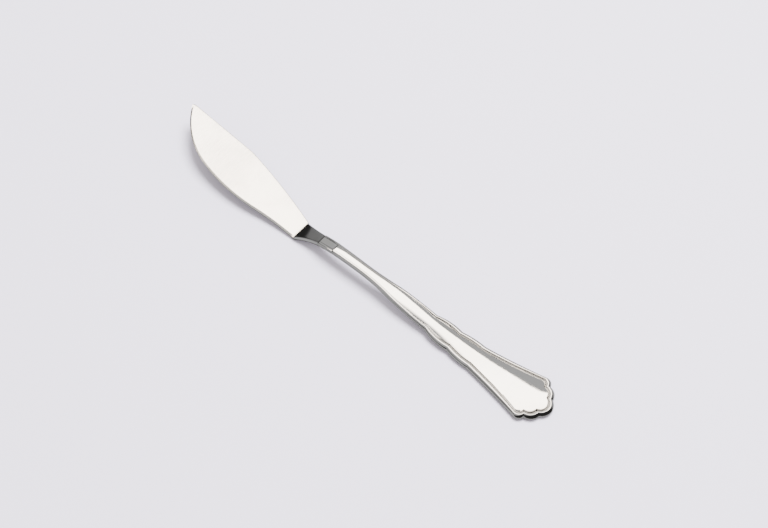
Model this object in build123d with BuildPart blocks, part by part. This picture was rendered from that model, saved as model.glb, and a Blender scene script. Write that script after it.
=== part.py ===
from build123d import *

import os
from math import pi, sin, sqrt

# Fish knife with a hollow handle: blade, bolster, two handle shells and the cement inside them.
# Millimetres. +X runs from the handle to the blade's tip, +Z is up from the table, and +Y is the side
# of the cutting edge. The origin is on the table, in the middle of the land that the handle rests on.
# Distances along the knife are given from the handle's end, and station() turns them into X.

# Lengths along the knife
handle_length = 117.0  # handle end to the mouth of the shells
bolster_length = 12.0  # mouth of the shells to the heel of the blade
blade_length = 74.5  # heel to tip
rest_from_end = 15.0  # handle end to the middle of the land underneath

# Side profile: heights of the seam between the two shells above the table
seam_end_height = 1.6  # over the flat stretch at the handle's end
seam_crest_height = 7.25  # top of the arch
seam_heel_height = 1.05  # at the heel of the blade
arch_start = 31.0  # handle end to the start of the rise
crest_to_mouth = 12.0  # top of the arch back from the mouth

# Thickness of the handle's rim above and below the seam
front_rise_end = 1.25
front_rise_mouth = 1.45
back_drop_end = 0.85
back_drop_mouth = 1.6
shell_wall = 0.5
solder_gap = 0.06  # between the rims of the shells, and between their mouth and the bolster

# Plan of the handle: points on one side, as distance from the end and half width
lobe_half = 4.3  # middle lobe of the end
lobe_rise = 1.9
side_lobe_bulge = 0.65
shoulder_notch_from_end = 6.8
shoulder_notch_half = 8.1
shoulder_from_end = 9.2
shoulder_half = 10.1
shoulder_bulge = 0.55
sweep_end = 36.5
sweep_half = 6.05
sweep_hollow = 0.4
lower_notch_from_end = 47.4
lower_notch_half = 5.25
swell_bulge = 0.42
upper_notch_from_end = 59.4
upper_notch_half = 4.2
bump_bulge = 0.75
taper_to_mouth = 39.0
taper_half = 3.5
taper_bulge = 0.2
neck_to_mouth = 20.0
neck_half = 2.34
mouth_half = 2.58

# Thread border and crowned panel of the front
rim_width = 1.3
groove_width = 0.3
thread_width = 0.6
thread_to_mouth = 33.0  # the inner thread stops this far back from the mouth
groove_depth = 0.45
thread_drop = 0.15  # crest of the inner thread below the rim
panel_drop = 0.3  # edge of the panel below the rim
panel_margin = 0.3  # flat strip between the inner thread and the crown
panel_crown = 0.11  # height of the crown over the panel's half width
crown_run = 14.0  # the crown and the belly come to their full height over this distance from each end
collar_length = 7.5  # plain collar between the panel and the mouth

# Belly of the back
belly_inset = 1.0
belly_crown = 0.13  # depth of the belly over its half width
lens_spread = 1.06  # how far the arcs of panel and belly run on past their half width
lens_sink = 0.1  # how deep their ends run into what they stand on
lens_depth = 0.4
lens_stations = 12
lens_bunching = 1.6  # over 1, the stations are closer together where the handle's end widens

# Bolster and tang
lip = 0.12  # step from the shells' mouth down to the bolster
heel_half = 4.55
bolster_hollow = 0.35
bolster_heel_rise = 1.2  # above the seam at the heel
heel_flat = 0.15  # depth of the flat under the heel
bolster_chamfer = 0.4
tang_length = 48.0
tang_half = 1.2
tang_tip_half = 0.8
tang_thickness = 0.7
tang_drop = 0.22  # middle of the tang below the seam
tang_clearance = 0.1  # cement film round the tang
core_clearance = 0.06  # between the cement and the shells

# Blade
tongue_length = 5.0
tongue_half = 2.6
tongue_thickness = 1.1
tongue_clearance = 0.05
leaf_heel_height = 0.35  # underside at the heel above the table
leaf_tip_height = 10.7  # underside at the tip above the table
leaf_heel_thickness = 1.5
leaf_tip_thickness = 0.9
hump_from_heel = 40.0
hump_side = 14.15
spine_bulge = 0.75
tip_side = 13.7
tip_blunt = 0.9
swell_from_heel = 21.0
swell_side = 5.65
edge_hollow = 0.4
belly_from_heel = 51.0
belly_side = 4.05
belly_bulge = 1.4
point_bulge = 3.0
bevel_width = 1.2
bevel_depth = 0.45
spine_chamfer = 0.25

# Values worked out from the sizes above
reach = 2 * (heel_half + hump_side + leaf_tip_height + seam_crest_height)  # past every side
heel_from_end = handle_length + bolster_length
tip_from_end = heel_from_end + blade_length
crest_from_end = handle_length - crest_to_mouth
panel_end = handle_length - collar_length
taper_end = handle_length - taper_to_mouth
neck_from_end = handle_length - neck_to_mouth
mouth_flare = (mouth_half - neck_half) / neck_to_mouth
thread_inset = rim_width + groove_width
border_width = thread_inset + thread_width
crown_inset = border_width + panel_margin
thread_end = handle_length - thread_to_mouth
arch_middle = (arch_start + crest_from_end) / 2
arch_run = crest_from_end - arch_start
arch_rise = seam_crest_height - seam_end_height
arch_radius = (arch_run**2 + arch_rise**2) / (4 * arch_rise)
neck_run = heel_from_end - crest_from_end
neck_fall = seam_crest_height - seam_heel_height
neck_radius = (neck_run**2 + neck_fall**2) / (2 * neck_fall)


def station(from_end):
    return from_end - rest_from_end


def seam_height(from_end):
    # flat at the end, then an S of two equal arcs up to the crest, then one arc down to the heel
    if from_end <= arch_start:
        return seam_end_height
    if from_end <= arch_middle:
        return seam_end_height + arch_radius - sqrt(arch_radius**2 - (from_end - arch_start) ** 2)
    if from_end <= crest_from_end:
        return seam_crest_height - arch_radius + sqrt(arch_radius**2 - (crest_from_end - from_end) ** 2)
    return seam_crest_height - neck_radius + sqrt(neck_radius**2 - (from_end - crest_from_end) ** 2)


def ramp(start, start_level, end, end_level):
    # a level over the seam that changes evenly between two distances
    return lambda d: start_level + (end_level - start_level) * (d - start) / (end - start)


def front_level(below=0.0):
    return ramp(0, front_rise_end - below, handle_length, front_rise_mouth - below)


def back_level(above=0.0):
    return ramp(0, above - back_drop_end, handle_length, above - back_drop_mouth)


def flat_level(height):
    return lambda d: height


def level_line(level, start, end):
    # one line or arc for each stretch of the side profile
    turns = [d for d in (arch_start, arch_middle, crest_from_end) if start < d < end]
    stops = [start, *turns, end]
    for first, last in zip(stops, stops[1:]):
        points = [(station(d), seam_height(d) + level(d)) for d in (first, (first + last) / 2, last)]
        if last <= arch_start:
            Line(points[0], points[2])
        else:
            ThreePointArc(*points)


def layer(face, low, high, start, end):
    # a plan face made solid between two levels that follow the arch of the knife
    with BuildPart() as solid:
        extrude(face, amount=reach, both=True)
        with BuildSketch(Plane.XZ):
            with BuildLine():
                level_line(low, start, end)
                level_line(high, start, end)
                for d in (start, end):
                    bottom = seam_height(d) + low(d)
                    top = seam_height(d) + high(d)
                    Line((station(d), bottom), (station(d), top))
            make_face()
        extrude(amount=reach, both=True, mode=Mode.INTERSECT)
    return solid.part


def handle_face(inset, end_at):
    # plan of the handle, drawn in by the inset and cut square at a distance from the end
    cusp = (station(lobe_rise), lobe_half)
    shoulder_notch = (station(shoulder_notch_from_end), shoulder_notch_half)
    shoulder = (station(shoulder_from_end), shoulder_half)
    sweep_foot = (station(sweep_end), sweep_half)
    lower_notch = (station(lower_notch_from_end), lower_notch_half)
    upper_notch = (station(upper_notch_from_end), upper_notch_half)
    taper_foot = (station(taper_end), taper_half)
    neck = (station(neck_from_end), neck_half)
    past_mouth = (station(tip_from_end), neck_half + mouth_flare * (tip_from_end - neck_from_end))
    lobe_radius = (lobe_half**2 + lobe_rise**2) / (2 * lobe_rise)
    with BuildSketch() as plan:
        with BuildLine():
            RadiusArc((station(0), 0), cusp, lobe_radius)
            SagittaArc(cusp, shoulder_notch, side_lobe_bulge)
            SagittaArc(shoulder_notch, shoulder, shoulder_bulge)
            SagittaArc(shoulder, sweep_foot, -sweep_hollow)
            SagittaArc(sweep_foot, lower_notch, swell_bulge)
            SagittaArc(lower_notch, upper_notch, bump_bulge)
            SagittaArc(upper_notch, taper_foot, taper_bulge)
            mouth_side = Line(neck, past_mouth)
            TangentArc(neck, taper_foot, tangent=mouth_side % 0 * -1)
            Line(past_mouth, (past_mouth[0], 0))
            mirror(about=Plane.XZ)
        make_face()
        with Locations((station(end_at + inset), 0)):
            Rectangle(2 * heel_from_end, 2 * reach, align=(Align.MAX, Align.CENTER), mode=Mode.INTERSECT)
        if inset > 0:
            offset(amount=-inset, kind=Kind.ARC, mode=Mode.REPLACE)
    return plan.sketch


def half_width(from_end):
    # half width of the handle without its scallops, along straight lines between the named points
    points = (
        (0, lobe_half / 2),
        (lobe_rise, lobe_half),
        (shoulder_notch_from_end, shoulder_notch_half),
        (shoulder_from_end, shoulder_half),
        (sweep_end, sweep_half),
        (lower_notch_from_end, lower_notch_half),
        (upper_notch_from_end, upper_notch_half),
        (taper_end, taper_half),
        (neck_from_end, neck_half),
        (handle_length, mouth_half),
    )
    for (near, near_half), (far, far_half) in zip(points, points[1:]):
        if from_end <= far:
            return near_half + (far_half - near_half) * (from_end - near) / (far - near)
    return mouth_half


def swelling(inset, crown, edge_level, toward, end_at):
    # a long lens for the panel or the belly: a circular arc across each station, lofted lengthwise,
    # whose sides and ends run a little way into the level that it stands on
    with BuildPart() as lens:
        for i in range(lens_stations):
            from_start = (end_at - border_width) * (i / (lens_stations - 1)) ** lens_bunching
            d = border_width + from_start
            half = half_width(d) - inset
            nearest_end = min(from_start, end_at - d) + lens_sink
            rise = crown * half * sin(pi / 2 * min(1, nearest_end / crown_run))
            crest = edge_level(d) + toward * (rise - lens_sink)
            side = crest - toward * rise * lens_spread**2
            base = edge_level(d) - toward * lens_depth
            edge = lens_spread * half
            across = Plane(origin=(station(d), 0, seam_height(d)), x_dir=(0, 1, 0), z_dir=(1, 0, 0))
            with BuildSketch(across):
                with BuildLine():
                    ThreePointArc((-edge, side), (0, crest), (edge, side))
                    Polyline((edge, side), (edge, base), (-edge, base), (-edge, side))
                make_face()
        loft()
    return lens.part


def cavity(wall, end_at):
    # the hollow of the closed handle without the swell of its panel and belly
    inside = handle_face(wall, end_at)
    with BuildPart() as hollow:
        add(layer(inside, back_level(wall), front_level(groove_depth + wall), 0, end_at))
        split(bisect_by=Plane.XY.offset(wall), keep=Keep.TOP)
    return hollow.part


# Handle front: rim, groove and inner thread round the crowned panel, hollow behind
outline = handle_face(0, handle_length)
above_seam = flat_level(solder_gap / 2)
below_seam = flat_level(-solder_gap / 2)
over_all = front_level(-reach)
groove_face = handle_face(rim_width, panel_end)
thread_face = handle_face(thread_inset, thread_end)
sunk_face = handle_face(border_width, thread_end + thread_width)
panel_face = handle_face(thread_inset, panel_end - groove_width)

with BuildPart() as handle_hollow:
    add(cavity(shell_wall, heel_from_end))
    add(swelling(crown_inset, panel_crown, front_level(panel_drop + shell_wall), 1, thread_end))
    add(swelling(belly_inset + shell_wall, belly_crown, back_level(shell_wall), -1, handle_length))
    split(bisect_by=Plane.XY.offset(shell_wall), keep=Keep.TOP)

with BuildPart() as handle_front_shell:
    add(layer(outline, above_seam, front_level(), 0, handle_length))
    add(layer(groove_face, front_level(groove_depth), over_all, 0, handle_length), mode=Mode.SUBTRACT)
    add(layer(panel_face, above_seam, front_level(panel_drop), 0, handle_length))
    add(layer(thread_face, above_seam, front_level(thread_drop), 0, handle_length))
    add(layer(sunk_face, front_level(panel_drop), over_all, 0, handle_length), mode=Mode.SUBTRACT)
    add(swelling(crown_inset, panel_crown, front_level(panel_drop), 1, thread_end))
    add(handle_hollow.part, mode=Mode.SUBTRACT)

# Handle back: plain rim and a belly with the land that the handle rests on
with BuildPart() as handle_back_shell:
    add(layer(outline, back_level(), below_seam, 0, handle_length))
    add(swelling(belly_inset, belly_crown, back_level(), -1, handle_length))
    split(bisect_by=Plane.XY, keep=Keep.TOP)
    add(handle_hollow.part, mode=Mode.SUBTRACT)

# Bolster: flared neck with a slot for the blade's tongue, and the tang behind it
bolster_start = handle_length + solder_gap
with BuildSketch() as bolster_plan:
    with BuildLine():
        Line((station(bolster_start), 0), (station(bolster_start), mouth_half - lip))
        SagittaArc((station(bolster_start), mouth_half - lip), (station(heel_from_end), heel_half), -bolster_hollow)
        Line((station(heel_from_end), heel_half), (station(heel_from_end), 0))
        mirror(about=Plane.XZ)
    make_face()

with BuildSketch() as tang_plan:
    with BuildLine():
        tang_end = station(handle_length - tang_length)
        Polyline(
            (tang_end, 0),
            (tang_end, tang_tip_half),
            (station(bolster_start + lip), tang_half),
            (station(bolster_start + lip), 0),
        )
        mirror(about=Plane.XZ)
    make_face()

with BuildSketch() as slot_plan:
    with Locations((station(heel_from_end), 0)):
        Rectangle(
            2 * (tongue_length + tongue_clearance),
            2 * (tongue_half + tongue_clearance),
        )

bolster_top = ramp(handle_length, front_rise_mouth - lip, heel_from_end, bolster_heel_rise)
bolster_bottom = ramp(handle_length, lip - back_drop_mouth, heel_from_end, -seam_heel_height - heel_flat)
tang_top = flat_level(tang_thickness / 2 - tang_drop)
tang_bottom = flat_level(-tang_thickness / 2 - tang_drop)
slot_top = flat_level(tongue_thickness / 2 + tongue_clearance)
slot_bottom = flat_level(-tongue_thickness / 2 - tongue_clearance)
slot_end = heel_from_end + tongue_length

with BuildPart() as bolster:
    add(layer(bolster_plan.sketch, bolster_bottom, bolster_top, handle_length, heel_from_end))
    long_edges = bolster.edges().filter_by(lambda e: e.bounding_box().size.X > bolster_length / 2)
    chamfer(long_edges, bolster_chamfer)
    split(bisect_by=Plane.XY, keep=Keep.TOP)
    add(layer(slot_plan.sketch, slot_bottom, slot_top, handle_length, slot_end), mode=Mode.SUBTRACT)
    add(layer(tang_plan.sketch, tang_bottom, tang_top, 0, heel_from_end))

# Cement core: fills the closed shells round the tang
with BuildSketch() as tang_room_plan:
    add(tang_plan.sketch)
    offset(amount=tang_clearance, kind=Kind.INTERSECTION, mode=Mode.REPLACE)

with BuildPart() as handle_core:
    add(cavity(shell_wall + core_clearance, handle_length))
    add(
        layer(
            tang_room_plan.sketch,
            flat_level(-tang_thickness / 2 - tang_drop - tang_clearance),
            flat_level(tang_thickness / 2 - tang_drop + tang_clearance),
            0,
            heel_from_end,
        ),
        mode=Mode.SUBTRACT,
    )

# Blade: flat leaf that rises to the tip, bevelled along the edge, with the tongue behind its heel
heel_x = station(heel_from_end)
tip_x = station(tip_from_end)
with BuildPart() as blade:
    with BuildSketch():
        with BuildLine():
            hump = (heel_x + hump_from_heel, -hump_side)
            spine_tip = (tip_x - tip_blunt, -tip_side - tip_blunt)
            swell = (heel_x + swell_from_heel, swell_side)
            belly = (heel_x + belly_from_heel, belly_side)
            SagittaArc((heel_x, -heel_half), hump, -spine_bulge)
            Line(hump, spine_tip)
            Line(spine_tip, (tip_x, -tip_side))
            SagittaArc((tip_x, -tip_side), belly, -point_bulge)
            SagittaArc(belly, swell, -belly_bulge)
            SagittaArc(swell, (heel_x, heel_half), edge_hollow)
            Line((heel_x, heel_half), (heel_x, -heel_half))
        make_face()
    extrude(amount=reach, both=True)
    with BuildSketch(Plane.XZ):
        with BuildLine():
            Polyline(
                (heel_x, leaf_heel_height),
                (tip_x, leaf_tip_height),
                (tip_x, leaf_tip_height + leaf_tip_thickness),
                (heel_x, leaf_heel_height + leaf_heel_thickness),
                close=True,
            )
        make_face()
    extrude(amount=reach, both=True, mode=Mode.INTERSECT)
    face = blade.faces().sort_by(lambda f: f.normal_at().Z)[-1]
    spine = face.edges().filter_by(lambda e: (e @ 0.5).Y < -heel_half)
    chamfer(spine, spine_chamfer)
    face = blade.faces().sort_by(lambda f: f.normal_at().Z)[-1]
    cutting = face.edges().filter_by(lambda e: (e @ 0.5).Y > -heel_half and (e @ 0.5).X > heel_x + lip)
    chamfer(cutting, length=bevel_width, length2=bevel_depth, reference=face)
    with BuildSketch() as tongue_plan:
        with Locations((heel_x, 0)):
            Rectangle(2 * tongue_length, 2 * tongue_half)
    add(
        layer(
            tongue_plan.sketch,
            flat_level(-tongue_thickness / 2),
            flat_level(tongue_thickness / 2),
            handle_length,
            heel_from_end + leaf_heel_height,
        )
    )

os.makedirs("parts", exist_ok=True)
pieces = {
    "blade": blade,
    "bolster": bolster,
    "handle_front_shell": handle_front_shell,
    "handle_back_shell": handle_back_shell,
    "handle_core": handle_core,
}
for name, piece in pieces.items():
    piece.part.label = name
    export_step(piece.part, f"parts/{name}.step")
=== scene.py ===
import math

import bmesh
import bpy
import numpy as np
from mathutils import Matrix, Vector


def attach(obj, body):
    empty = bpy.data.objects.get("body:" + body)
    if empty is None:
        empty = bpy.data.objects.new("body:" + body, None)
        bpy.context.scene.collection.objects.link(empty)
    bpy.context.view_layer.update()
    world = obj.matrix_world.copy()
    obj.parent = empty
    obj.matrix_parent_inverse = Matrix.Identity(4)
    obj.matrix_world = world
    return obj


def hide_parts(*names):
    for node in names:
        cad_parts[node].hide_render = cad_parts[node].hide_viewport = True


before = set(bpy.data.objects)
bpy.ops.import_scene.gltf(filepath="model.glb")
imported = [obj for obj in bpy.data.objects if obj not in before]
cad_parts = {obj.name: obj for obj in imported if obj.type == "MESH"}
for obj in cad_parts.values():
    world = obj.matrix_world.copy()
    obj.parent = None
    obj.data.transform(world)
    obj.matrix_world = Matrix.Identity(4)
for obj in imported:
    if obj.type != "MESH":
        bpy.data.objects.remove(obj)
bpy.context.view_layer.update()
mm = 0.001
print("frame loaded:", sorted(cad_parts))

# side line of the knife, mm from the handle's end, heights above the table
sideLine = {
    "restFromEnd": 15.0,
    "handleLength": 117.0,
    "heel": 129.0,
    "tip": 203.5,
    "endHeight": 1.6,
    "crestHeight": 7.25,
    "heelHeight": 1.05,
    "archStart": 31.0,
    "crest": 105.0,
}


def arcDrop(radius, run):
    # how far an arc has left its tangent after this run
    return radius - math.sqrt(radius**2 - run**2)


def seamHeight(d):
    s = sideLine
    run = s["crest"] - s["archStart"]
    rise = s["crestHeight"] - s["endHeight"]
    archRadius = (run**2 + rise**2) / (4 * rise)
    neckRun = s["heel"] - s["crest"]
    neckFall = s["crestHeight"] - s["heelHeight"]
    neckRadius = (neckRun**2 + neckFall**2) / (2 * neckFall)
    if d <= s["archStart"]:
        return s["endHeight"]
    if d <= (s["archStart"] + s["crest"]) / 2:
        return s["endHeight"] + arcDrop(archRadius, d - s["archStart"])
    if d <= s["crest"]:
        return s["crestHeight"] - arcDrop(archRadius, s["crest"] - d)
    return s["crestHeight"] - arcDrop(neckRadius, d - s["crest"])


def between(a, b, share):
    return a + (b - a) * share


def smooth(a, b, x):
    t = np.clip((x - a) / (b - a), 0, 1)
    return t * t * (3 - 2 * t)


def listed(pairs, x):
    # value at x from a list of places and values
    return np.interp(x, *zip(*pairs))


def each(rule, xs):
    return np.array([rule(x) for x in xs])


def nearLine(d, line, reach):
    return np.exp(-abs(d - line) / reach)


def lineThrough(points):
    # half width or side of a piece at any distance along the knife
    d, values = np.array(points).T
    return lambda x: float(np.interp(x, d, values))


def arcPoints(p, q, bulge, step):
    # points from p towards q on an arc that stands off its chord by the bulge, without q itself
    leastCount = 6
    p, q = np.array(p, float), np.array(q, float)
    chord = q - p
    length = math.hypot(*chord)
    count = max(leastCount, round(length / step))
    side = np.array([-chord[1], chord[0]]) / length
    half = length / 2
    radius = (half**2 + bulge**2) / (2 * bulge)
    centre = (p + q) / 2 + side * (bulge - radius)
    sweep = math.asin(min(1.0, half / abs(radius))) * 2
    x, y = p - centre
    turn = -sweep if bulge > 0 else sweep
    points = []
    for i in range(count):
        a = turn * i / count
        c, s = math.cos(a), math.sin(a)
        points.append(centre + np.array([c * x - s * y, s * x + c * y]))
    return points


# plan of the handle, one side: distance from the end, half width, bulge of the arc that follows
handlePlan = {
    "points": [
        (-0.3, 0.0, 0.66),
        (2.2, 4.35, 1.05),
        (6.5, 8.5, 0.72),
        (9.5, 10.85, -0.25),
        (36.5, 6.1, 0.42),
        (47.4, 5.25, 0.75),
        (59.4, 4.2, 0.2),
        (78.0, 3.6, -0.3475),
        (97.0, 2.5, -0.002),
        (117.0, 2.7, 0.0),
    ],
    "step": 0.2,
    "spineStart": 8.6,
    "spineJoin": 24.0,
    "spineEase": 1.15,
    "insetLimit": 0.985,
    "plain": [  # half width without the scallops
        (0, 10.9),
        (9.5, 11.1),
        (20, 9.2),
        (30, 7.5),
        (42, 6.6),
        (50, 5.9),
        (60, 4.75),
        (78, 3.6),
        (97, 2.5),
        (117, 2.65),
    ],
    "plainReach": (-12.0, 130.0),
    "plainStep": 0.25,
    "plainWindow": 41,
}


def handleEdge():
    points = handlePlan["points"]
    edge = []
    for (x0, y0, bulge), (x1, y1, _) in zip(points, points[1:]):
        edge += arcPoints((x0, y0), (x1, y1), bulge, handlePlan["step"])
    edge.append(np.array(points[-1][:2]))
    return np.array(edge)


def spinePoints(edge):
    # where each line in from the edge meets the middle: square to it, but fanned out at the end
    along = np.concatenate([[0], np.cumsum(np.hypot(*np.diff(edge, axis=0).T))])
    first = np.argmax(edge[:, 0] > handlePlan["spineJoin"])
    spine = edge[:, 0].copy()
    share = (along[:first] / along[first]) ** handlePlan["spineEase"]
    spine[:first] = between(handlePlan["spineStart"], edge[first, 0], share)
    return np.stack([spine, np.zeros(len(spine))], 1)


def insetLines(edge, spine, insets):
    # places the given distances in on each line from edge to spine, so that cusps stay sharp
    run = spine - edge
    full = np.hypot(*run.T)
    rows = []
    for inset in insets:
        want = np.minimum(inset, full * handlePlan["insetLimit"])
        rows.append((edge + run * (want / full)[:, None], want))
    return rows, full


def plainHalf():
    # half width along the handle without its scallops, evened out
    d = np.arange(*handlePlan["plainReach"], handlePlan["plainStep"])
    window = np.hanning(handlePlan["plainWindow"])
    half = np.convolve(listed(handlePlan["plain"], d), window / window.sum(), mode="same")
    return lambda x: np.interp(x, d, half)


def newObject(name, data):
    obj = bpy.data.objects.new(name, data)
    bpy.context.scene.collection.objects.link(obj)
    return obj


def meshFrom(name, verts, faces):
    mesh = bpy.data.meshes.new(name)
    mesh.from_pydata([tuple(v) for v in verts], [], faces)
    mesh.update()
    return mesh


def tidyMesh(mesh):
    mergeGap = 1e-6
    bm = bmesh.new()
    bm.from_mesh(mesh)
    bmesh.ops.remove_doubles(bm, verts=bm.verts, dist=mergeGap)
    bmesh.ops.dissolve_degenerate(bm, edges=bm.edges, dist=mergeGap / 10)
    bmesh.ops.recalc_face_normals(bm, faces=bm.faces)
    bm.to_mesh(mesh)
    bm.free()
    mesh.update()


def smoothShade(mesh, angle):
    mesh.shade_smooth()
    mesh.set_sharp_from_angle(angle=math.radians(angle))


def storeValues(mesh, name, values):
    mesh.attributes.new(name, "FLOAT", "POINT").data.foreach_set("value", values.astype(np.float32))


def storeMarks(mesh, dullAndShade, rub):
    # where dull polish residue stays behind, with painted shade in the grooves and joints, and
    # where handling rubs the metal
    spots = np.zeros(len(mesh.vertices) * 3)
    mesh.vertices.foreach_get("co", spots)
    x, y, _ = spots.reshape(-1, 3).T / mm
    d = x + sideLine["restFromEnd"]
    storeValues(mesh, "dullAndShade", dullAndShade(d, y))
    storeValues(mesh, "rub", rub(d, y))


def place(d, y, z):
    return ((d - sideLine["restFromEnd"]) * mm, y * mm, z * mm)


def loftLoops(name, loops):
    # closed skin over a row of loops with the same count, capped at both ends
    n = len(loops[0])
    verts = [p for loop in loops for p in loop]
    faces = [list(range(n))[::-1], [len(verts) - n + i for i in range(n)]]
    for j in range(len(loops) - 1):
        for i in range(n):
            a, b = j * n + i, j * n + (i + 1) % n
            faces.append([a, b, b + n, a + n])
    mesh = meshFrom(name, verts, faces)
    tidyMesh(mesh)
    return mesh


class NodeDesk:
    # a short way to lay and join nodes in one tree
    perRow, columnWide, rowTall = 14, 190, 240

    def __init__(self, tree):
        self.tree = tree
        self.count = 0

    def node(self, kind, **settings):
        node = self.tree.nodes.new(kind)
        row, column = divmod(self.count, self.perRow)
        node.location = (column * self.columnWide, -row * self.rowTall)
        self.count += 1
        for key, value in settings.items():
            setattr(node, key, value)
        return node

    def feed(self, socket, value):
        if isinstance(value, bpy.types.NodeSocket):
            self.tree.links.new(value, socket)
        elif value is not None:
            socket.default_value = value

    def calc(self, operation, a, b=None):
        node = self.node("ShaderNodeMath", operation=operation)
        self.feed(node.inputs[0], a)
        self.feed(node.inputs[1], b)
        return node.outputs[0]

    def add(self, a, b):
        return self.calc("ADD", a, b)

    def less(self, a, b):
        return self.calc("SUBTRACT", a, b)

    def times(self, a, b):
        return self.calc("MULTIPLY", a, b)

    def most(self, a, b):
        return self.calc("MAXIMUM", a, b)

    def ramp(self, value, low, high):
        node = self.node("ShaderNodeMapRange", interpolation_type="SMOOTHSTEP")
        self.feed(node.inputs["Value"], value)
        self.feed(node.inputs["From Min"], low)
        self.feed(node.inputs["From Max"], high)
        return node.outputs["Result"]

    def blend(self, share, a, b):
        node = self.node("ShaderNodeMix", data_type="RGBA")
        self.feed(node.inputs[0], share)
        self.feed(node.inputs[6], a)  # 6, 7 and 2 are the colour sockets
        self.feed(node.inputs[7], b)
        return node.outputs[2]


# marks that all the pieces share: hairlines along the piece, a soft film and fine pits
marksSize = {
    "inputs": ("hairAlong", "hairAcross", "filmScale", "pitScale"),
    "outputs": ("hairlines", "film", "pits"),
    "hairDetail": 4.0,
    "hairRange": (0.35, 0.7),
    "filmDetail": 5.0,
    "filmBend": 0.4,
    "filmRange": (0.38, 0.68),
    "pitRange": (0.16, 0.05),
}


def polishMarks():
    s = marksSize
    tree = bpy.data.node_groups.new("polishMarks", "ShaderNodeTree")
    tree.interface.new_socket("place", in_out="INPUT", socket_type="NodeSocketVector")
    for name in s["inputs"]:
        tree.interface.new_socket(name, in_out="INPUT", socket_type="NodeSocketFloat")
    for name in s["outputs"]:
        tree.interface.new_socket(name, in_out="OUTPUT", socket_type="NodeSocketFloat")
    desk = NodeDesk(tree)
    given = desk.node("NodeGroupInput").outputs
    out = desk.node("NodeGroupOutput").inputs
    stretch = desk.node("ShaderNodeCombineXYZ")
    for socket, name in zip(stretch.inputs, ("hairAlong", "hairAcross", "hairAcross")):
        desk.feed(socket, given[name])
    drawn = desk.node("ShaderNodeVectorMath", operation="MULTIPLY")
    desk.feed(drawn.inputs[0], given["place"])
    desk.feed(drawn.inputs[1], stretch.outputs[0])
    hair = desk.node("ShaderNodeTexNoise")
    desk.feed(hair.inputs["Vector"], drawn.outputs[0])
    desk.feed(hair.inputs["Scale"], 1.0)
    desk.feed(hair.inputs["Detail"], s["hairDetail"])
    desk.feed(out["hairlines"], desk.ramp(hair.outputs["Fac"], *s["hairRange"]))
    film = desk.node("ShaderNodeTexNoise")
    desk.feed(film.inputs["Vector"], given["place"])
    desk.feed(film.inputs["Scale"], given["filmScale"])
    desk.feed(film.inputs["Detail"], s["filmDetail"])
    desk.feed(film.inputs["Distortion"], s["filmBend"])
    desk.feed(out["film"], desk.ramp(film.outputs["Fac"], *s["filmRange"]))
    pits = desk.node("ShaderNodeTexVoronoi")
    desk.feed(pits.inputs["Vector"], given["place"])
    desk.feed(pits.inputs["Scale"], given["pitScale"])
    desk.feed(out["pits"], desk.ramp(pits.outputs["Distance"], *s["pitRange"]))
    return tree


def startMaterial(name, finish, marks):
    # an empty material with the shared marks laid in it
    material = bpy.data.materials.new(name)
    material.use_nodes = True
    material.node_tree.nodes.clear()
    desk = NodeDesk(material.node_tree)
    shared = desk.node("ShaderNodeGroup", node_tree=marks)
    desk.feed(shared.inputs["place"], desk.node("ShaderNodeTexCoord").outputs["Object"])
    for key in marksSize["inputs"]:
        desk.feed(shared.inputs[key], finish[key])
    return material, desk, [shared.outputs[key] for key in marksSize["outputs"]]


def endMaterial(desk, finish, colour, rough, height, metal):
    bump = desk.node("ShaderNodeBump")
    desk.feed(bump.inputs["Strength"], finish["bumpStrength"])
    desk.feed(bump.inputs["Distance"], finish["bumpDistance"])
    desk.feed(bump.inputs["Height"], height)
    shader = desk.node("ShaderNodeBsdfPrincipled")
    desk.feed(shader.inputs["Metallic"], metal)
    desk.feed(shader.inputs["Base Color"], colour)
    desk.feed(shader.inputs["Roughness"], rough)
    desk.feed(shader.inputs["Normal"], bump.outputs["Normal"])
    desk.feed(desk.node("ShaderNodeOutputMaterial").inputs["Surface"], shader.outputs["BSDF"])


def metalMaterial(name, finish, marks):
    material, desk, (hair, film, pits) = startMaterial(name, finish, marks)
    # the grooves and joints get a dark, dull colour: partly polish residue, partly painted shade
    dullAndShade = desk.node("ShaderNodeAttribute", attribute_name="dullAndShade").outputs["Fac"]
    rub = desk.node("ShaderNodeAttribute", attribute_name="rub").outputs["Fac"]
    clean = desk.blend(film, finish["bright"], finish["veiled"])
    colour = desk.blend(desk.times(dullAndShade, finish["dullAndShadeDark"]), clean, finish["dullShade"])
    rough = desk.add(desk.times(film, finish["filmRough"]), finish["rough"])
    rough = desk.add(rough, desk.times(hair, finish["hairRough"]))
    rough = desk.add(rough, desk.times(desk.times(rub, hair), finish["rubRough"]))
    rough = desk.add(rough, desk.times(dullAndShade, finish["recessRough"]))
    height = desk.less(desk.times(hair, finish["hairDepth"]), desk.times(pits, finish["pitDepth"]))
    height = desk.add(height, desk.times(film, finish["waveDepth"]))
    endMaterial(desk, finish, colour, rough, height, metal=1.0)
    return material


def cementMaterial(name, finish, marks):
    material, desk, (grain, film, pits) = startMaterial(name, finish, marks)
    colour = desk.blend(film, finish["pale"], finish["dark"])
    # painted shade: the pits are coloured darker
    colour = desk.blend(pits, colour, finish["pitShade"])
    rough = desk.add(desk.times(grain, finish["grainRough"]), finish["rough"])
    endMaterial(desk, finish, colour, rough, desk.less(grain, pits), metal=0.0)
    return material


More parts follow.
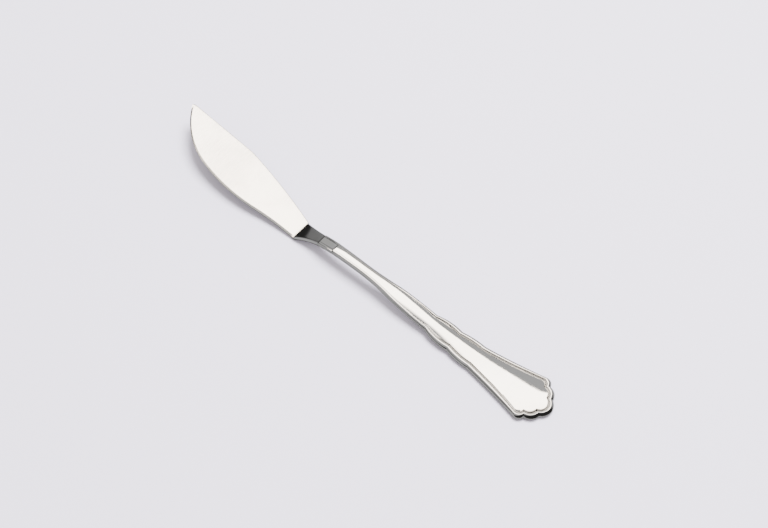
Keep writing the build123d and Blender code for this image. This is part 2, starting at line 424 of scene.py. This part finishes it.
# mirror polish of the stamped shells
handleFinish = {
    "bright": (0.83, 0.825, 0.815, 1),
    "veiled": (0.77, 0.765, 0.75, 1),
    # dark colour of polish residue and painted shade in the grooves and joints
    "dullShade": (0.05, 0.05, 0.05, 1),
    "dullAndShadeDark": 0.85,
    "rough": 0.03,
    "filmRough": 0.025,
    "hairRough": 0.015,
    "rubRough": 0.025,
    "recessRough": 0.03,
    "hairAlong": 260.0,
    "hairAcross": 5200.0,
    "filmScale": 85.0,
    "pitScale": 1900.0,
    "hairDepth": 0.12,
    "pitDepth": 0.1,
    "waveDepth": 0.5,
    "bumpStrength": 0.12,
    "bumpDistance": 0.0001,
}

# the neck, a shade darker than the shells
bolsterFinish = dict(
    handleFinish,
    bright=(0.79, 0.79, 0.785, 1),
    veiled=(0.72, 0.72, 0.715, 1),
    rough=0.04,
    filmScale=130.0,
)

# satin leaf with brushing across its length
bladeFinish = dict(
    handleFinish,
    bright=(0.9, 0.875, 0.84, 1),
    veiled=(0.86, 0.83, 0.79, 1),
    rough=0.2,
    filmRough=0.06,
    hairRough=0.07,
    rubRough=0.08,
    hairAlong=6400.0,
    hairAcross=190.0,
    filmScale=55.0,
    pitScale=1500.0,
    hairDepth=0.35,
    waveDepth=0.6,
    bumpStrength=0.16,
)

# set filler inside the handle
cementFinish = {
    "pale": (0.42, 0.37, 0.31, 1),
    "dark": (0.3, 0.265, 0.22, 1),
    # colour painted into the pits as their shade
    "pitShade": (0.16, 0.14, 0.12, 1),
    "rough": 0.75,
    "grainRough": 0.15,
    "hairAlong": 900.0,
    "hairAcross": 900.0,
    "filmScale": 240.0,
    "pitScale": 1100.0,
    "bumpStrength": 0.5,
    "bumpDistance": 0.0002,
}

marks = polishMarks()
handleSteel = metalMaterial("handleSteel", handleFinish, marks)
bolsterSteel = metalMaterial("bolsterSteel", bolsterFinish, marks)
bladeSteel = metalMaterial("bladeSteel", bladeFinish, marks)
setCement = cementMaterial("setCement", cementFinish, marks)
print("materials made")

# stamped front half: bead, groove, inner thread, crowned panel, plain collar at the mouth
frontShell = {
    "beadWidth": 1.78,
    "crestIn": 1.18,
    "flankCurve": [(4, 1.12), (11, 1.4)],
    "grooveWidth": 0.25,
    "borderWidth": 2.58,
    "neckNarrow": 0.65,
    "beadHeight": 0.55,
    "edgeLow": [(0, 0.13), (30, 0.13), (50, 0.3), (85, 0.62), (117, 0.72)],
    "threadHeight": 0.32,
    "threadLeast": 0.03,
    "panelStep": 0.22,
    "panelLeast": 0.5,
    "crown": 0.12,
    "crownLead": 1.0,
    "crownRun": 6.0,
    "swellRun": [(25, 1.0), (45, 1.4), (60, 1.7), (117, 1.7)],
    "levelEnd": 1.25,
    "levelMouth": 1.45,
    "wall": 0.5,
    "ceiling": 0.4,
    "seamGap": 0.06,
    "seamIn": 0.05,
    "seamLip": 0.07,
    "threadFade": 46.0,
    "threadEnd": 68.0,
    "roundStart": 50.0,
    "roundEnd": 84.0,
    "domeHeight": 0.62,
    "domePower": 2.0,
    "neckFaint": 0.97,
    "collarStart": 109.3,
    "collarStep": 0.2,
    "collarPower": 24.0,
    "collarDrop": 0.32,
    # reach of the dull residue and painted shade at the mouth
    "mouthDullShade": 0.12,
    "facing": 1.0,
    "sharpAngle": 50,
}

# plain back half with a rounded edge, flat where it lies on the table
backShell = dict(
    frontShell,
    beadWidth=1.7,
    crestIn=0.85,
    flankCurve=[(0, 2.0), (117, 2.0)],
    edgeLow=[(0, 0.5), (117, 0.5)],
    grooveWidth=0.0,
    borderWidth=1.9,
    neckNarrow=1.0,
    beadHeight=0.35,
    threadHeight=0.0,
    panelStep=0.35,
    crown=0.125,
    swellRun=[(0, 1.0), (117, 1.0)],
    levelEnd=0.85,
    levelMouth=1.6,
    ceiling=0.0,
    neckFaint=0.0,
    domeHeight=0.0,
    collarStart=200.0,
    facing=-1.0,
)

# lines across a shell, from the edge inwards: shares of the bead, of the inner thread, of the panel
shellRows = {
    "bead": [0.012, 0.045, 0.1, 0.18, 0.28, 0.39, 0.5, 0.61, 0.72, 0.82, 0.9, 0.955, 0.988, 1],
    "thread": [0, 0.03, 0.1, 0.22, 0.36, 0.5, 0.64, 0.78, 0.9, 0.97, 1],
    "panel": [0.025, 0.07, 0.15, 0.26, 0.4, 0.55, 0.7, 0.85, 1],
    "dullShadeFrom": 0.92,  # of the bead, where the groove's dull residue and painted shade begin
}


def collarSag(size, d):
    # height of the straight collar against the arc of the neck
    first, last = size["collarStart"], sideLine["handleLength"]
    if not first < d < last:
        return 0.0
    share = (d - first) / (last - first)
    return between(seamHeight(first), seamHeight(last), share) - seamHeight(d)


def shellMesh(name, size):
    # flat plan in rows, from the ceiling inside round the edge to the middle of the face,
    # with what each point needs to be raised by the node tree
    edge = handleEdge()
    spine = spinePoints(edge)
    beadWide, groove = size["beadWidth"], size["grooveWidth"]
    fadeOut = smooth(size["threadFade"], size["threadEnd"], spine[:, 0])
    narrow = between(1, size["neckNarrow"], fadeOut)  # the border is finer along the neck
    inner = (beadWide + groove) * narrow
    border = between(size["borderWidth"], inner + size["threadLeast"], fadeOut)
    beadRun = [(0, 0), (0.5, size["crestIn"]), (1, beadWide)]
    insets = [size["wall"], size["seamIn"]]
    insets += [narrow * listed(beadRun, b) for b in shellRows["bead"]]
    insets += [narrow * (beadWide + groove / 2)]
    insets += [inner + (border - inner) * k for k in shellRows["thread"]]
    lines, full = insetLines(edge, spine, insets)
    plain = plainHalf()
    zero, one = np.zeros(len(edge)), np.ones(len(edge))
    rows = []

    def row(xy, inset, base=None, formed=True, bead=0, thread=0, onPanel=0, dullAndShade=0, rub=0):
        d = xy[:, 0]
        half = np.maximum(plain(d) - border, size["panelLeast"])
        lead = np.clip((d - size["borderWidth"] + size["crownLead"]) / size["crownRun"], 0, 1)
        swell = np.maximum(half - xy[:, 1] ** 2 / half, 0) * np.sin(lead * math.pi / 2)
        collar = smooth(size["collarStart"], size["collarStart"] + size["collarStep"], d)
        if base is None:
            share = np.clip(d / sideLine["handleLength"], 0, 1)
            floor = between(size["levelEnd"], size["levelMouth"], share) - size["beadHeight"]
            height = floor if formed else floor - size["ceiling"]
        else:
            height = base * one
        rows.append({
            "xy": xy,
            "seam": each(seamHeight, d),
            "base": height,
            "bead": bead * one,
            "thread": thread * one,
            "onPanel": onPanel * one,
            "swell": swell * listed(size["swellRun"], d),
            "across": np.minimum(inset / full, 1) / 2,
            "fade": 1 - fadeOut,
            "rounded": smooth(size["roundStart"], size["roundEnd"], d),
            "low": listed(size["edgeLow"], d),
            "curve": listed(size["flankCurve"], d),
            "square": between(size["domePower"], size["collarPower"], collar),
            "form": one if formed and base is None else zero,
            "sag": each(lambda x: collarSag(size, x), d) * np.minimum(inset / size["crestIn"], 1),
            "collar": collar,
            # dull residue and painted shade in the groove and at the mouth's joint
            "dullAndShade": np.maximum(dullAndShade, nearLine(d, sideLine["handleLength"], size["mouthDullShade"])),
            "rub": rub * one,
        })

    gap = size["seamGap"] / 2
    wall, seam, *across = lines
    row(spine, full, formed=False)
    row(*wall, formed=False)
    row(*wall, base=gap)
    row(*seam, base=gap)
    row(edge, zero, base=gap + size["seamLip"])
    row(edge, zero)
    across = iter(across)
    grooved = groove > 0
    rest = 1 if grooved else 0.5  # past the bead: in the groove, or still at the bead's height
    for b in shellRows["bead"]:
        # the groove's side of the bead takes dull residue and painted shade
        dullShade = grooved and b > shellRows["dullShadeFrom"]
        row(*next(across), bead=b * rest, rub=4 * b * (1 - b), dullAndShade=dullShade)
    row(*next(across), bead=rest, dullAndShade=grooved)
    for k in shellRows["thread"]:
        dullShade = grooved and k in (0, 1)
        row(*next(across), thread=k, bead=rest, rub=2 * k * (1 - k), dullAndShade=dullShade)
    lastXy, lastIn = lines[-1]
    for u in shellRows["panel"]:
        row(between(lastXy, spine, u), between(lastIn, full, u), onPanel=1, bead=rest)

    count, width = len(edge), len(rows)
    verts, faces = [], []
    for side in (1, -1):
        start = len(verts)
        for r in rows:
            verts += [place(x, side * y, 0) for x, y in r["xy"]]
        for j in range(width - 1):
            for i in range(count - 1):
                a = start + j * count + i
                quad = [a, a + 1, a + count + 1, a + count]
                faces.append(quad if side > 0 else quad[::-1])
        mouth = [start + j * count + count - 1 for j in range(width)]
        faces.append(mouth if side < 0 else mouth[::-1])
    mesh = meshFrom(name, verts, faces)
    for key in rows[0]:
        if key != "xy":
            storeValues(mesh, key, np.concatenate([r[key] for r in rows] * 2))
    return mesh


# fixed curves of the shells' relief, and the sizes that the node tree takes from each shell
shellCurves = {
    "crestFlat": 3,
    "threadTip": 0.3,
    "domeRound": 0.75,
    "flankRun": 2,
    "collarRun": 4,
    "inputs": (
        "beadHeight",
        "threadHeight",
        "panelStep",
        "crown",
        "domeHeight",
        "neckFaint",
        "collarDrop",
        "facing",
    ),
}


def shellTree():
    # raises the flat plan of a shell: bead along the edge, inner thread, crowned panel, collar
    s = shellCurves
    tree = bpy.data.node_groups.new("shellForm", "GeometryNodeTree")
    tree.interface.new_socket("Geometry", in_out="INPUT", socket_type="NodeSocketGeometry")
    for name in s["inputs"]:
        tree.interface.new_socket(name, in_out="INPUT", socket_type="NodeSocketFloat")
    tree.interface.new_socket("material", in_out="INPUT", socket_type="NodeSocketMaterial")
    tree.interface.new_socket("Geometry", in_out="OUTPUT", socket_type="NodeSocketGeometry")
    desk = NodeDesk(tree)
    given = desk.node("NodeGroupInput").outputs

    def stored(name):
        node = desk.node("GeometryNodeInputNamedAttribute", data_type="FLOAT")
        node.inputs["Name"].default_value = name
        return node.outputs["Attribute"]

    def rest(value):
        return desk.less(1, value)

    # inner side of the bead: level at the crest, then round down into the groove
    u = desk.most(desk.less(desk.times(stored("bead"), 2), 1), 0)
    left = desk.most(rest(desk.calc("POWER", u, s["crestFlat"])), 0)
    bead = desk.times(desk.calc("SQRT", left), given["beadHeight"])
    # the thread has straight sides and a rounded crest
    tip = s["threadTip"]
    u = desk.less(desk.times(stored("thread"), 2), 1)
    off = desk.less(desk.calc("SQRT", desk.add(desk.times(u, u), tip**2)), tip)
    thread = rest(desk.calc("DIVIDE", off, math.hypot(1, tip) - tip))
    thread = desk.times(desk.times(thread, given["threadHeight"]), stored("fade"))
    panel = desk.add(desk.times(stored("swell"), given["crown"]), given["panelStep"])
    panel = desk.times(panel, stored("onPanel"))
    form = desk.most(desk.most(bead, thread), panel)
    # at the neck the relief grows faint on a section rounded as a whole, and ends at the collar
    collar, rounded = stored("collar"), stored("rounded")
    out = rest(desk.times(stored("across"), 2))
    left = desk.most(rest(desk.calc("POWER", out, stored("square"))), 0)
    dome = desk.times(desk.calc("POWER", left, s["domeRound"]), given["domeHeight"])
    dome = desk.times(desk.times(dome, rest(desk.times(collar, given["collarDrop"]))), rounded)
    kept = desk.times(rest(desk.times(rounded, given["neckFaint"])), rest(collar))
    form = desk.add(desk.times(form, kept), dome)
    # the outer side of the bead falls in a rounded slope from its crest, steeper at the collar
    curve, formed = stored("curve"), stored("form")
    run = desk.add(desk.times(collar, s["collarRun"]), s["flankRun"])
    away = desk.most(rest(desk.times(stored("bead"), run)), 0)
    left = desk.most(rest(desk.calc("POWER", away, curve)), 0)
    fall = desk.times(rest(desk.calc("POWER", left, desk.calc("DIVIDE", 1, curve))), formed)
    height = desk.add(desk.times(desk.add(form, stored("sag")), formed), stored("base"))
    height = desk.add(height, desk.times(desk.less(stored("low"), height), fall))
    height = desk.add(desk.times(height, given["facing"]), stored("seam"))
    height = desk.most(height, 0)  # flat where it lies on the table
    lift = desk.node("ShaderNodeCombineXYZ")
    desk.feed(lift.inputs["Z"], desk.times(height, mm))
    move = desk.node("GeometryNodeSetPosition")
    desk.feed(move.inputs["Geometry"], given["Geometry"])
    desk.feed(move.inputs["Offset"], lift.outputs["Vector"])
    whole = desk.node("GeometryNodeRealizeInstances")
    desk.feed(whole.inputs["Geometry"], move.outputs["Geometry"])
    paint = desk.node("GeometryNodeSetMaterial")
    desk.feed(paint.inputs["Geometry"], whole.outputs["Geometry"])
    desk.feed(paint.inputs["Material"], given["material"])
    desk.feed(desk.node("NodeGroupOutput").inputs["Geometry"], paint.outputs["Geometry"])
    return tree


def runNodes(obj, tree, values):
    # sets the inputs, evaluates once and keeps the result as a plain mesh
    modifier = obj.modifiers.new("form", "NODES")
    modifier.node_group = tree
    for item in tree.interface.items_tree:
        if item.item_type == "SOCKET" and item.in_out == "INPUT" and item.name in values:
            modifier[item.identifier] = values[item.name]
    bpy.context.view_layer.update()
    evaluated = obj.evaluated_get(bpy.context.evaluated_depsgraph_get())
    done = bpy.data.meshes.new_from_object(evaluated)
    obj.modifiers.remove(modifier)
    old = obj.data
    obj.data = done
    bpy.data.meshes.remove(old)
    done.name = obj.name


def makeShell(name, size, tree):
    obj = newObject(name, shellMesh(name, size))
    values = {key: size[key] for key in shellCurves["inputs"]}
    runNodes(obj, tree, dict(values, material=handleSteel))
    tidyMesh(obj.data)
    smoothShade(obj.data, size["sharpAngle"])
    return obj


shellForm = shellTree()
frontPiece = makeShell("frontShell", frontShell, shellForm)
backPiece = makeShell("backShell", backShell, shellForm)
print("shells made:", len(frontPiece.data.vertices), len(backPiece.data.vertices))

# flared neck between the shells and the blade, with its tang and the slot for the blade
bolsterSize = {
    "start": 117.06,
    "end": 129.0,
    "half": [(117.06, 2.62), (129.0, 4.75)],
    "hollow": -0.35,
    "planStep": 0.2,
    "top": (1.33, 1.2),
    "bottom": (1.48, 1.2),
    "sideRound": (0.7, 0.6),
    "sideTurns": 9,
    "dome": 0.1,
    "domeSteps": 6,
    "edgeBreak": 0.03,
    "edgeShare": 0.003,
    "columns": 70,
    "tangTip": 69.0,
    "tangHalf": (0.8, 1.2),
    "tangThick": 0.7,
    "tangDrop": 0.22,
    "tangRound": 0.05,
    "tangColumns": 40,
    "slotDepth": 5.05,
    "slotHalf": 2.65,
    "slotHeight": 1.2,
    "slotRound": 0.03,
    "slotColumns": 8,
    # reach of the dull residue and painted shade at the neck's two joints
    "dullShadeReach": 0.2,
    "rubHalf": 4.5,
    "rubFrom": 0.7,
    "sharpAngle": 40,
}


def neckLoop(d, half, side, low, top, dome):
    # closed loop across the neck: half-round sides and a low dome over the top
    turns, steps = bolsterSize["sideTurns"], bolsterSize["domeSteps"]
    flat, rise = half - side, (top - low) / 2
    loop = []
    for sign, first in ((1, -1), (-1, 1)):
        for i in range(2 * turns + 1):
            a = math.pi / 2 * (first + i / turns)
            loop.append((sign * flat + side * math.cos(a), low + rise + rise * math.sin(a)))
        if sign > 0:
            for k in range(1, 2 * steps):
                v = 1 - k / steps
                loop.append((flat * v, top + dome * (1 - v**2)))
    return [place(d, y, z) for y, z in loop]


def bolsterMesh():
    s = bolsterSize
    half = lineThrough(arcPoints(*s["half"], s["hollow"], s["planStep"]) + [s["half"][1]])
    rim = s["edgeShare"]
    loops = []
    for share in np.linspace(0, 1, s["tangColumns"]):
        d = between(s["tangTip"], s["start"], share)
        wide, thick = between(*s["tangHalf"], share), s["tangThick"] / 2
        mid = seamHeight(d) - s["tangDrop"]
        loops.append(neckLoop(d, wide, s["tangRound"], mid - thick, mid + thick, 0))
    inner = np.linspace(4 * rim, 1 - 4 * rim, s["columns"])
    for share in [0, rim, 2 * rim, *inner, 1 - 2 * rim, 1 - rim, 1]:
        d = between(s["start"], s["end"], share)
        cut = s["edgeBreak"] * max(0, 1 - min(share, 1 - share) / rim)  # a touch off both edges
        top = seamHeight(d) + between(*s["top"], share) - cut
        low = max(0, seamHeight(d) - between(*s["bottom"], share)) + cut * (share < 0.5)
        side = between(*s["sideRound"], share)
        loops.append(neckLoop(d, half(d) - cut, side, low, top, s["dome"]))
    for d in np.linspace(s["end"], s["end"] - s["slotDepth"], s["slotColumns"]):
        mid, tall = seamHeight(d), s["slotHeight"] / 2
        loops.append(neckLoop(d, s["slotHalf"], s["slotRound"], mid - tall, mid + tall, 0))
    return loftLoops("bolster", loops)


# dull polish residue and painted shade at both joints of the neck
def neckDullShade(d, y):
    s = bolsterSize
    ends = [nearLine(d, line, s["dullShadeReach"]) for line in (s["start"], s["end"])]
    return np.maximum(*ends)


def neckRub(d, y):
    return smooth(bolsterSize["rubFrom"], 1, abs(y) / bolsterSize["rubHalf"])


neckPiece = newObject("neck", bolsterMesh())
neckPiece.data.materials.append(bolsterSteel)
storeMarks(neckPiece.data, neckDullShade, neckRub)
smoothShade(neckPiece.data, bolsterSize["sharpAngle"])

# leaf of the blade, spine and cutting edge as arcs: start, end, bulge
bladeSize = {
    "spine": [
        ((129.0, -4.95), (169.0, -14.15), -0.75),
        ((169.0, -14.15), (202.6, -14.6), -0.02),
        ((202.6, -14.6), (203.5, -13.7), -0.05),
    ],
    "edge": [
        ((129.0, 4.55), (150.0, 5.65), -0.4),
        ((150.0, 5.65), (180.0, 4.05), 1.4),
        ((180.0, 4.05), (203.5, -13.7), 3.0),
    ],
    "planStep": 0.15,
    "slopeStep": 0.2,
    "leastWidth": 0.01,
    "under": (0.35, 10.7),
    "thick": (1.5, 0.9),
    "heelFade": 0.02,
    "bow": 0.05,
    "bowSteps": 16,
    "bevelWidth": 0.7,
    "bevelDepth": 0.36,
    "bevelLimit": 0.45,
    "bevelEase": 0.01,
    "bevelShares": (0, 0.02, 0.06, 0.5, 0.96, 1),
    "underBevel": 0.25,
    "underWide": 0.6,
    "underShares": (0, 0.1, 0.5, 1),
    "underSteps": 8,
    "underRound": 0.7,
    "spineRound": 0.32,
    "spineLimit": 0.3,
    "spineShares": (0, 0.03, 0.12, 0.27, 0.5, 0.75, 1),
    "tongueLength": 5.0,
    "tongueHalf": 2.6,
    "tongueThick": 1.1,
    "tongueColumns": 8,
    "columns": 300,
    "columnEase": 1.25,
    # reach of the dull residue and painted shade at the heel
    "dullShadeReach": 0.3,
    "rubRun": (135, 203),
    "rubMost": 0.6,
    "sharpAngle": 25,
}


def bladeLoop(d, share, spine, edge):
    # closed loop across the blade: rounded spine, bowed face, bevel, and back along the underside
    s = bladeSize
    heel, tip, step = sideLine["heel"], sideLine["tip"], s["slopeStep"]
    ys, ye = spine(d), edge(d)
    width = max(ye - ys, s["leastWidth"])
    slope = (edge(min(d + step, tip)) - edge(max(d - step, heel))) / (2 * step)
    fullBevel = s["bevelWidth"] * math.hypot(1, slope)
    bevel = min(fullBevel, s["bevelLimit"] * width)
    r = min(s["spineRound"], s["spineLimit"] * width)
    low, thick = between(*s["under"], share), between(*s["thick"], share)
    top = low + thick
    fade = smooth(0, s["heelFade"], share)
    sink = s["bevelDepth"] * fade * bevel / fullBevel
    under = bevel * s["underWide"]
    corner = [(ys + r * u, 1 - math.sqrt(1 - (1 - u) ** 2)) for u in s["spineShares"]]
    loop = [(y, top - r * c) for y, c in corner]
    for k in range(1, s["bowSteps"]):
        v = k / s["bowSteps"]
        bow = s["bow"] * (1 - (2 * v - 1) ** 2) * fade
        loop.append((between(ys + r, ye - bevel, v), top + bow))
    for u in s["bevelShares"]:
        loop.append((ye - bevel + bevel * u, top - sink * max(0, u - s["bevelEase"])))
    for u in s["underShares"]:
        loop.append((ye - under * u, low + s["underBevel"] * fade * (1 - u) * min(1, thick)))
    for k in range(1, s["underSteps"]):
        loop.append((between(ye - under, ys + r, k / s["underSteps"]), low))
    loop += [(y, low + r * s["underRound"] * c) for y, c in corner[::-1]]
    return loop


def tongueLoops(loop):
    # tongue behind the heel, inside the neck's slot
    s = bladeSize
    upper = len(s["spineShares"]) + s["bowSteps"] - 1 + len(s["bevelShares"])
    half = s["tongueThick"] / 2
    loops = []
    for back in np.linspace(s["tongueLength"], 0, s["tongueColumns"]):
        d = sideLine["heel"] - back
        ys = np.clip([y for y, _ in loop], -s["tongueHalf"], s["tongueHalf"])
        zs = [seamHeight(d) + (half if i < upper else -half) for i in range(len(loop))]
        loops.append([place(d, y, z) for y, z in zip(ys, zs)])
    return loops


def bladeMesh():
    s = bladeSize

    def outline(arcs):
        points = [p for a, b, bulge in arcs for p in arcPoints(a, b, bulge, s["planStep"])]
        return lineThrough(points + [arcs[-1][1]])

    spine, edge = outline(s["spine"]), outline(s["edge"])
    loops = []
    for i in range(s["columns"]):
        share = math.sin(math.pi / 2 * i / (s["columns"] - 1)) ** s["columnEase"]
        d = between(sideLine["heel"], sideLine["tip"], share)
        loop = bladeLoop(d, share, spine, edge)
        if i == 0:
            loops += tongueLoops(loop)
        loops.append([place(d, y, z) for y, z in loop])
    return loftLoops("blade", loops)


# dull polish residue and painted shade where the leaf meets the neck
def leafDullShade(d, y):
    return nearLine(d, sideLine["heel"], bladeSize["dullShadeReach"])


def leafRub(d, y):
    return smooth(*bladeSize["rubRun"], d) * bladeSize["rubMost"]


leafPiece = newObject("leaf", bladeMesh())
leafPiece.data.materials.append(bladeSteel)
storeMarks(leafPiece.data, leafDullShade, leafRub)
smoothShade(leafPiece.data, bladeSize["sharpAngle"])
print("neck and leaf made:", len(neckPiece.data.vertices), len(leafPiece.data.vertices))

for piece, node in (
    (frontPiece, "handle_front_shell"),
    (backPiece, "handle_back_shell"),
    (neckPiece, "bolster"),
    (leafPiece, "blade"),
):
    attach(piece, "root")
    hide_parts(node)
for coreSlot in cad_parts["handle_core"].material_slots:
    coreSlot.material = setCement
print("pieces placed")

# plain pale table; painted shade: as the polish mirrors it, the table takes a dark colour that
# stands for the shaded table and dark room around the knife
table = {
    "half": 4.0,
    "drop": 2e-5,
    "colour": (0.83, 0.79, 0.94, 1),
    "shadeInPolish": (0.13, 0.13, 0.135, 1),
    "rough": 0.9,
    "shine": 0.1,
}


def makeFloor():
    h, z = table["half"], -table["drop"]
    corners = [(-h, -h, z), (h, -h, z), (h, h, z), (-h, h, z)]
    floor = newObject("table", meshFrom("table", corners, [(0, 1, 2, 3)]))
    material = bpy.data.materials.new("paleTable")
    material.use_nodes = True
    shader = material.node_tree.nodes["Principled BSDF"]
    desk = NodeDesk(material.node_tree)
    glossy = desk.node("ShaderNodeLightPath").outputs["Is Glossy Ray"]
    # painted shade: glossy rays see the table dark, so the polish shows a dark table
    desk.feed(shader.inputs["Base Color"], desk.blend(glossy, table["colour"], table["shadeInPolish"]))
    desk.feed(shader.inputs["Roughness"], table["rough"])
    desk.feed(shader.inputs["Specular IOR Level"], table["shine"])
    floor.data.materials.append(material)


# the room that the polish mirrors: a white ceiling on the far side from the camera, and grey walls
# that are darker near the horizon, behind the camera and towards the knife's two ends
room = {
    "ceilingLow": (0.762, 0.79),
    "ceilingNear": (-0.04, 0.2),
    "ceilingLevel": 9.0,
    "ceilingTint": (1.0, 0.9, 0.79),
    "ceilingDim": 0.07,
    "wallStops": [
        (0.0, 0.026),
        (0.04, 0.04),
        (0.09, 0.19),
        (0.25, 0.21),
        (0.45, 0.26),
        (0.56, 0.5),
        (0.7, 0.53),
        (1.0, 0.54),
    ],
    "wallTint": (1.0, 0.99, 0.985),
    "awayFromCamera": (0.65, 0.76),
    "endsMiddle": 0.575,
    "endsDark": 1.2,
    "handleDark": 0.3,
    "nearDark": 0.5,
    "nearLeast": 0.22,
    "behindFrom": (-0.5, -0.8),
    "behindDark": 0.5,
    "tableGlow": (1.0, 0.96, 0.93, 1),  # even light for the table
    "backdrop": (0.8, 0.79, 0.82, 1),  # what the camera sees past the table
}


def makeRoom():
    world = bpy.data.worlds.new("softRoom")
    world.use_nodes = True
    desk = NodeDesk(world.node_tree)
    split = desk.node("ShaderNodeSeparateXYZ")
    desk.feed(split.inputs[0], desk.node("ShaderNodeTexCoord").outputs["Generated"])
    x, y, z = split.outputs
    tiny = 1e-6  # keeps the division whole straight up
    flat = desk.calc("SQRT", desk.add(desk.add(desk.times(x, x), desk.times(y, y)), tiny))
    sideways = desk.calc("DIVIDE", desk.calc("ABSOLUTE", y), flat)
    ends = desk.times(desk.less(sideways, room["endsMiddle"]), room["endsDark"])
    reach = desk.less(desk.add(z, ends), desk.most(desk.times(x, -room["handleDark"]), 0))
    reach = desk.less(reach, desk.most(desk.times(y, room["nearDark"]), 0))
    reach = desk.most(reach, desk.times(y, room["nearLeast"]))
    awayX, awayY = room["awayFromCamera"]
    away = desk.less(desk.times(x, awayX), desk.times(y, awayY))
    behind = desk.ramp(away, *room["behindFrom"])
    reach = desk.less(reach, desk.times(behind, room["behindDark"]))
    walls = desk.node("ShaderNodeValToRGB")
    stops = walls.color_ramp.elements
    while len(stops) < len(room["wallStops"]):
        stops.new(0.5)
    for stop, (height, level) in zip(stops, room["wallStops"]):
        stop.position = height
        stop.color = [level * c for c in room["wallTint"]] + [1]
    desk.feed(walls.inputs["Fac"], reach)
    level = room["ceilingLevel"]
    bright = [level * c for c in room["ceilingTint"]] + [1]
    dim = [level * room["ceilingDim"]] * 3 + [1]
    ceiling = desk.blend(desk.ramp(away, *room["ceilingNear"]), dim, bright)
    lit = desk.blend(desk.ramp(z, *room["ceilingLow"]), walls.outputs["Color"], ceiling)
    rays = desk.node("ShaderNodeLightPath").outputs
    lit = desk.blend(rays["Is Diffuse Ray"], lit, room["tableGlow"])
    seen = desk.blend(rays["Is Camera Ray"], lit, room["backdrop"])
    desk.feed(world.node_tree.nodes["Background"].inputs["Color"], seen)
    bpy.context.scene.world = world


# one soft lamp that lights the table and doesn't show in the polish
lampSize = {
    "from": (0.05, -0.36, 1.0),
    "far": 1.3,
    "size": 0.75,
    "power": 57.0,
}


def makeLamp():
    light = bpy.data.lights.new("highFill", "AREA")
    light.shape = "DISK"
    light.size = lampSize["size"]
    light.energy = lampSize["power"]
    lamp = newObject("highFill", light)
    toward = Vector(lampSize["from"]).normalized()
    lamp.location = toward * lampSize["far"]
    lamp.rotation_euler = toward.to_track_quat("Z", "Y").to_euler()
    lamp.visible_camera = False
    lamp.visible_glossy = False


# the photograph's camera
cameraSize = {
    "at": (-0.1386, 0.2429, 0.5135),
    "right": (-0.7604, -0.6494, 0.0),
    "up": (0.5447, -0.6377, 0.5446),
    "lens": 70.3,
    "sensor": 36.0,
    "clipStart": 0.01,
}


def makeCamera():
    lens = bpy.data.cameras.new("camera")
    lens.lens = cameraSize["lens"]
    lens.sensor_width = cameraSize["sensor"]
    lens.sensor_fit = "HORIZONTAL"
    lens.clip_start = cameraSize["clipStart"]
    camera = newObject("camera", lens)
    right, up = Vector(cameraSize["right"]), Vector(cameraSize["up"])
    turn = Matrix((right, up, right.cross(up))).transposed().to_4x4()
    camera.matrix_world = Matrix.Translation(cameraSize["at"]) @ turn
    bpy.context.scene.camera = camera


makeFloor()
makeRoom()
makeLamp()
makeCamera()
print("table, light and camera set")
